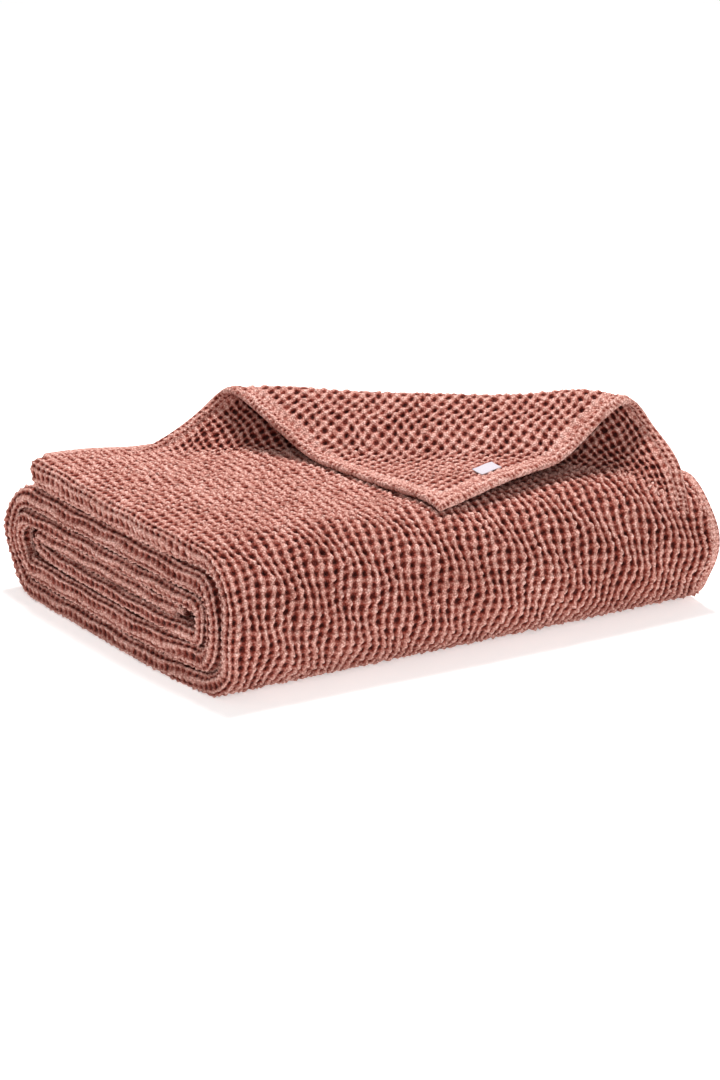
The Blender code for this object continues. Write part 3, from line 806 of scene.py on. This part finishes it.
def waffle_cotton():
    """Combed cotton in waffle weave: soft lumpy ridges round pits painted dark red as painted shade,
    with no gloss.
    """
    made, tree, shader = new_material("combed_cotton_waffle_weave", Roughness=0.95,
                                      Specular_IOR_Level=0.08, Sheen_Weight=0.16,
                                      Sheen_Roughness=0.5, Sheen_Tint=linear(COTTON_SHEEN))
    maths = "ShaderNodeMath"
    lattice = add(tree, "ShaderNodeUVMap", {"uv_map": "lattice"})
    strength = add(tree, "ShaderNodeAttribute", {"attribute_name": "pit_strength"}).outputs["Fac"]
    ribbed = add(tree, "ShaderNodeAttribute", {"attribute_name": "rib_strength"}).outputs["Fac"]
    split = add(tree, "ShaderNodeSeparateXYZ", i0=lattice)
    # The pits as in the relief, where both waves are high: wide, and painted dark as painted shade.
    waves = []
    for k in range(2):
        angle = add(tree, maths, "MULTIPLY", i0=split.outputs[k], i1=math.pi)
        sine = add(tree, maths, "SINE", i0=angle)
        waves.append(add(tree, maths, "MULTIPLY", i0=sine, i1=sine))
    both = add(tree, maths, "MULTIPLY", i0=waves[0], i1=waves[1])
    either = add(tree, maths, "ADD", i0=waves[0], i1=waves[1])
    rest = add(tree, maths, "SUBTRACT", i0=either, i1=both)
    rest = add(tree, maths, "ADD", i0=rest, i1=0.0001)
    pit = add(tree, maths, "DIVIDE", i0=both, i1=rest)
    pit = add(tree, maths, "POWER", i0=pit, i1=1.35)
    # Between the knobs the ridges lie lower and are painted darker as painted shade, most of all
    # those across ribs.
    across = add(tree, maths, "SUBTRACT", i0=waves[0], i1=both)
    along = add(tree, maths, "SUBTRACT", i0=waves[1], i1=both)
    across_shade = add(tree, maths, "MULTIPLY_ADD", i0=ribbed, i1=0.20, i2=0.28)
    along = add(tree, maths, "MULTIPLY", i0=along, i1=0.15)
    low = add(tree, maths, "MULTIPLY_ADD", i0=across, i1=across_shade, i2=along)
    pit = add(tree, maths, "ADD", i0=low, i1=pit)
    pit = add(tree, maths, "MULTIPLY", i0=pit, i1=strength)
    # Loose fibres, loops of yarn with painted shade in the gaps between them, and patches of a
    # slightly darker tone.
    place = add(tree, "ShaderNodeTexCoord").outputs["Object"]
    fibre = add(tree, "ShaderNodeTexNoise", Vector=place, Scale=FIBRES, Detail=2.0, Roughness=0.6)
    loops = add(tree, "ShaderNodeTexVoronoi", {"feature": "F1"}, Vector=place, Scale=LOOPS_OF_YARN)
    patch = add(tree, "ShaderNodeTexNoise", Vector=place, Scale=PATCHES, Detail=2.0)
    # The ramp turns the pit mask, roughened by the fibres, into cloth colour on the ridges and
    # painted shade in the pits.
    pit = add(tree, maths, "SUBTRACT", i0=pit, i1=0.17)
    pit_shade_and_fibres = add(tree, maths, "MULTIPLY_ADD", i0=fibre, i1=0.34, i2=pit)
    colour = add(tree, "ShaderNodeValToRGB", {"stops": CLOTH_AND_PIT_SHADE_STOPS}, i0=pit_shade_and_fibres).outputs[0]
    for stops, factor, share in ((LOOP_GAP_SHADE_STOPS, loops, 0.85), (PATCH_STOPS, patch, 0.8)):
        shade = add(tree, "ShaderNodeValToRGB", {"stops": stops}, i0=factor)
        colour = add(tree, "ShaderNodeMix", {"data_type": "RGBA", "blend_type": "MULTIPLY"},
                     i0=share, i6=colour, i7=shade).outputs[2]
    tree.links.new(colour, shader.inputs["Base Color"])
    relief = add(tree, maths, "MULTIPLY", i0=loops, i1=-0.80)
    relief = add(tree, maths, "MULTIPLY_ADD", i0=fibre, i1=0.55, i2=relief)
    bump = add(tree, "ShaderNodeBump", Strength=0.9, Distance=YARN_RELIEF, Height=relief)
    tree.links.new(bump.outputs[0], shader.inputs["Normal"])
    return made


def white_tape():
    """Woven polyester tape, matt and close: fine crossing threads that hardly show."""
    made, tree, shader = new_material("woven_white_tape", Roughness=0.65)
    lattice = add(tree, "ShaderNodeUVMap", {"uv_map": "lattice"})
    threads = [add(tree, "ShaderNodeTexWave", {"bands_direction": way}, Vector=lattice,
                   Scale=TAPE_THREADS).outputs[1] for way in "XY"]
    both = add(tree, "ShaderNodeMath", "MULTIPLY", i0=threads[0], i1=threads[1])
    colour = add(tree, "ShaderNodeValToRGB", {"stops": TAPE_STOPS}, i0=both)
    tree.links.new(colour.outputs[0], shader.inputs["Base Color"])
    bump = add(tree, "ShaderNodeBump", Strength=0.4, Distance=THREAD_RELIEF, Height=both)
    tree.links.new(bump.outputs[0], shader.inputs["Normal"])
    return made


def floor_finish():
    """Matt white card, lit a little from within so that the stack's shadow stays faint."""
    made, tree, shader = new_material("pale_matt_floor", Roughness=0.9,
                                      Emission_Color=linear("#FFFFFF"), Emission_Strength=0.48)
    place = add(tree, "ShaderNodeTexCoord").outputs["Object"]
    grain = add(tree, "ShaderNodeTexNoise", Vector=place, Scale=4.0)
    colour = add(tree, "ShaderNodeValToRGB", {"stops": FLOOR_STOPS}, i0=grain)
    tree.links.new(colour.outputs[0], shader.inputs["Base Color"])
    return made


# Putting it together.

waffle_finish = waffle_cotton()
tape_finish = white_tape()

# The cells along the strip at which its faces end.
top_end = round(FOLD_RUN[0][1] / CELL)
front_end = round(FOLD_RUN[1][0] / CELL)
bottom_end = round(FOLD_RUN[1][1] / CELL)
back_end = round(FOLD_RUN[2][0] / CELL) + 4
strip_end = math.floor(FOLD_RUN[-1][1] / CELL)

# Name, its way of lying, cells across the strip, cells along it, steps to a cell, face drop.
for name, way, across, along, fine, drop in (
        ("top_face", round_fold, (1, LAST_CELL), (1, top_end), 6, 0.0),
        ("top_nose", round_fold, (EDGE_CELL, LAST_CELL), (0, 1), 6, 0.0),
        ("front_face", round_fold, (1, LAST_CELL), (top_end, front_end), 7, 0.0),
        ("under_face", round_fold, (1, EDGE_CELL), (front_end, bottom_end), 1, KNOB_RISE),
        ("back_face", round_fold, (1, EDGE_CELL), (bottom_end, back_end), 6, 0.0),
        ("left_folds", round_fold, (EDGE_CELL, LAST_CELL), (front_end, strip_end), 6, 0.0),
        ("right_folds", round_lobe, (0, 4), (0, strip_end), 4, 0.0)):
    cloth_piece(name, waffle_finish, way, across, along, fine, drop)
corner_piece("turned_corner", waffle_finish)
for name, (share, inset) in SIDE_HEMS.items():
    side_hem(name, waffle_finish, SIDE_HEM_FROM, FOLD_RUN[-1][1], share, inset)
for k, (letter, share) in enumerate(END_HEMS.items()):
    # Every other hem lies a little further in.
    further = k % 2
    end_hem("end_hem_" + letter, waffle_finish,
                         -WIDTH / 2.0 + 0.0120 + 0.0020 * further, WIDTH / 2.0 - 0.0025,
                         share, 0.0012 + 0.0015 * further)
core = folded_sheet("folded_throw_sheet", waffle_finish)
core.modifiers.new("cloth", "SOLIDIFY").thickness = SHEET_THICK
core.modifiers["cloth"].offset = 0.0
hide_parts("blanket")
tab = tab_piece("blank_tab", tape_finish)
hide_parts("tab")

# Stage, light and camera.

floor_mesh = bpy.data.meshes.new("floor")
bm = bmesh.new()
bmesh.ops.create_grid(bm, x_segments=1, y_segments=1, size=FLOOR_HALF)
bm.to_mesh(floor_mesh)
bm.free()
floor = bpy.data.objects.new("floor", floor_mesh)
floor_mesh.materials.append(floor_finish())
bpy.context.scene.collection.objects.link(floor)

world = bpy.data.worlds.new("studio")
world.use_nodes = True
sky = world.node_tree.nodes["Background"]
sky.inputs["Color"].default_value = linear("#FFFFFF")
sky.inputs["Strength"].default_value = 0.30
bpy.context.scene.world = world


def soft_light(name, place, size, watts):
    """A square softbox that faces the stack."""
    data = bpy.data.lights.new(name, "AREA")
    data.size = size
    data.energy = watts
    made = bpy.data.objects.new(name, data)
    made.location = place
    towards = Vector((0.0, 0.0, 0.05)) - Vector(place)
    made.rotation_euler = towards.to_track_quat("-Z", "Y").to_euler()
    bpy.context.scene.collection.objects.link(made)


# The key light stands high behind the right side, and the fill low before the left front.
soft_light("key", (0.25, 0.30, 2.0), 0.5, 59.0)
soft_light("fill", (-1.0, -1.95, 1.15), 1.0, 20.0)

turn_by, rise = math.radians(CAMERA_TURN), math.radians(CAMERA_RISE)
back = Vector((math.sin(turn_by) * math.cos(rise), -math.cos(turn_by) * math.cos(rise),
               math.sin(rise)))
camera = bpy.data.cameras.new("camera")
camera.sensor_fit = "HORIZONTAL"
camera.sensor_width = SENSOR_WIDTH
camera.lens = SENSOR_WIDTH * CAMERA_AWAY / (FRAME_PIXELS[0] * PIXEL_SIZE)
camera.shift_x = (FRAME_PIXELS[0] / 2.0 - TARGET_PIXEL[0]) / FRAME_PIXELS[0]
camera.shift_y = (TARGET_PIXEL[1] - FRAME_PIXELS[1] / 2.0) / FRAME_PIXELS[0]
eye = bpy.data.objects.new("camera", camera)
eye.location = Vector(CAMERA_TARGET) + back * CAMERA_AWAY
eye.rotation_mode = "QUATERNION"
eye.rotation_quaternion = (-back).to_track_quat("-Z", "Y")
bpy.context.scene.collection.objects.link(eye)
bpy.context.scene.camera = eye
bpy.context.scene.view_settings.view_transform = "Standard"
